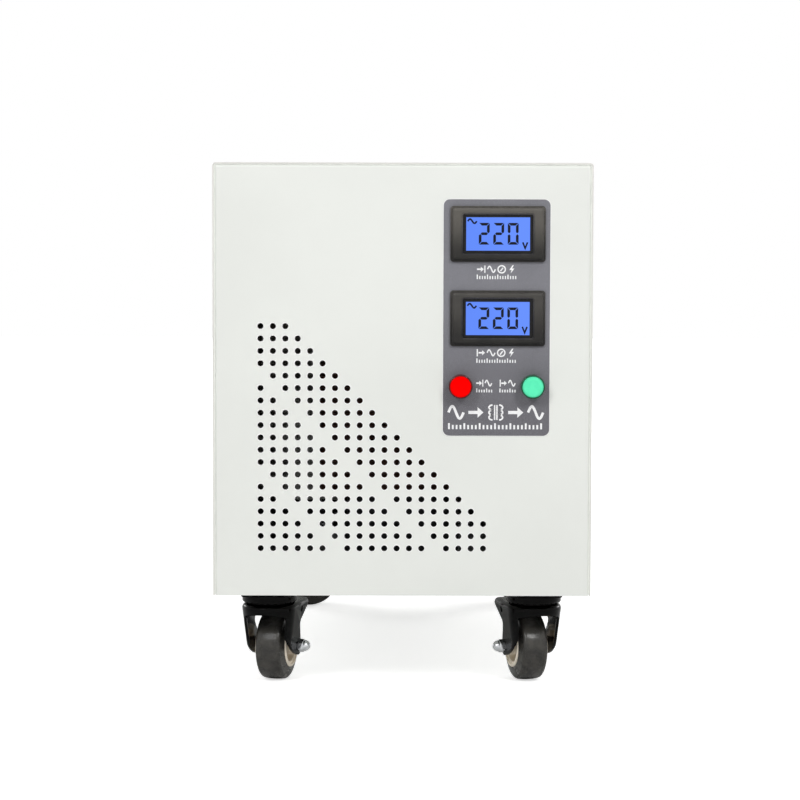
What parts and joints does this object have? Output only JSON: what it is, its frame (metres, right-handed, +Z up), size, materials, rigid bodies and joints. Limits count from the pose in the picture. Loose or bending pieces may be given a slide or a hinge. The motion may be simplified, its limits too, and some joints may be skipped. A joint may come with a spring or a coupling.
{
  "type": "dry type transformer",
  "caption": "Floor-standing three-phase dry type transformer in a white vented steel cabinet with panel meters, pilot lamps and swivel casters.",
  "frame": {"origin": "on the floor under the centre of the overall box", "axes": "+Z up, -Y out of the front with the meters, +X to the right of someone facing the front"},
  "size_m": [0.3108, 0.5502, 0.4292],
  "materials": {
    "coat": "fine powder coat, slightly warm white",
    "label": "grey printed film, fine texture",
    "black_plastic": "moulded, fine grain",
    "display": "backlit liquid crystal",
    "lens_red": "clear moulded",
    "lens_green": "clear moulded",
    "zinc": "zinc plated",
    "chrome": "polished",
    "brass": "turned",
    "rubber": "moulded",
    "core_steel": "varnished laminations",
    "winding": "varnished tape over enamelled wire",
    "clamp_paint": "black paint",
    "caster_black": "gloss black e-coat",
    "hub": "cream moulded polypropylene",
    "tyre": "smooth black rubber"
  },
  "bodies": {
    "root": {"base_tray": "coat", "cable_grommets": "rubber", "caster_balls": "chrome", "caster_bolts": "caster_black", "caster_front_left_plate": "caster_black", "caster_front_right_plate": "caster_black", "caster_kingpins": "zinc", "caster_rear_left_plate": "caster_black", "caster_rear_right_plate": "caster_black", "clamp_bolts": "zinc", "clamp_lower_left": "clamp_paint", "clamp_lower_right": "clamp_paint", "clamp_upper_left": "clamp_paint", "clamp_upper_right": "clamp_paint", "coil_front": "winding", "coil_middle": "winding", "coil_rear": "winding", "core": "core_steel", "earth_stud": "brass", "foot_bolts": "zinc", "front_panel": "coat", "label_plate": "label", "lamp_green_holder": "black_plastic", "lamp_green_lens": "lens_green", "lamp_nuts": "black_plastic", "lamp_red_holder": "black_plastic", "lamp_red_lens": "lens_red", "m4_screws": "zinc", "m6_nuts": "zinc", "m8_nuts": "zinc", "meter_clips": "black_plastic", "meter_lower_display": "display", "meter_lower_housing": "black_plastic", "meter_upper_display": "display", "meter_upper_housing": "black_plastic", "rear_panel": "coat", "terminal_block": "black_plastic", "terminal_screws": "zinc", "wrap_cover": "coat"},
    "fork_front_left": {"caster_front_left_fork": "caster_black", "caster_front_left_axle": "zinc", "caster_front_left_cap_nut": "chrome"},
    "wheel_front_left": {"caster_front_left_hub": "hub", "caster_front_left_tyre": "tyre"},
    "fork_front_right": {"caster_front_right_fork": "caster_black", "caster_front_right_axle": "zinc", "caster_front_right_cap_nut": "chrome"},
    "wheel_front_right": {"caster_front_right_hub": "hub", "caster_front_right_tyre": "tyre"},
    "fork_rear_left": {"caster_rear_left_fork": "caster_black", "caster_rear_left_axle": "zinc", "caster_rear_left_cap_nut": "chrome"},
    "wheel_rear_left": {"caster_rear_left_hub": "hub", "caster_rear_left_tyre": "tyre"},
    "fork_rear_right": {"caster_rear_right_fork": "caster_black", "caster_rear_right_axle": "zinc", "caster_rear_right_cap_nut": "chrome"},
    "wheel_rear_right": {"caster_rear_right_hub": "hub", "caster_rear_right_tyre": "tyre"}
  },
  "joints": [
    {"name": "swivel_front_left", "type": "hinge", "parent": "root", "child": "fork_front_left", "pos_m": [-0.1092, -0.21995, 0.0792], "axis": [0, 0, 1], "continuous": true},
    {"name": "roll_front_left", "type": "hinge", "parent": "fork_front_left", "child": "wheel_front_left", "pos_m": [-0.10402, -0.20063, 0.0287], "axis": [0.9659, -0.2588, 0], "continuous": true},
    {"name": "swivel_front_right", "type": "hinge", "parent": "root", "child": "fork_front_right", "pos_m": [0.1092, -0.21995, 0.0792], "axis": [0, 0, 1], "continuous": true},
    {"name": "roll_front_right", "type": "hinge", "parent": "fork_front_right", "child": "wheel_front_right", "pos_m": [0.10402, -0.20063, 0.0287], "axis": [0.9659, 0.2588, 0], "continuous": true},
    {"name": "swivel_rear_left", "type": "hinge", "parent": "root", "child": "fork_rear_left", "pos_m": [-0.1092, 0.21005, 0.0792], "axis": [0, 0, 1], "continuous": true},
    {"name": "roll_rear_left", "type": "hinge", "parent": "fork_rear_left", "child": "wheel_rear_left", "pos_m": [-0.0895, 0.21352, 0.0287], "axis": [0.1736, -0.9848, 0], "continuous": true},
    {"name": "swivel_rear_right", "type": "hinge", "parent": "root", "child": "fork_rear_right", "pos_m": [0.1092, 0.21005, 0.0792], "axis": [0, 0, 1], "continuous": true},
    {"name": "roll_rear_right", "type": "hinge", "parent": "fork_rear_right", "child": "wheel_rear_right", "pos_m": [0.1192, 0.22737, 0.0287], "axis": [0.866, -0.5, 0], "continuous": true}
  ]
}
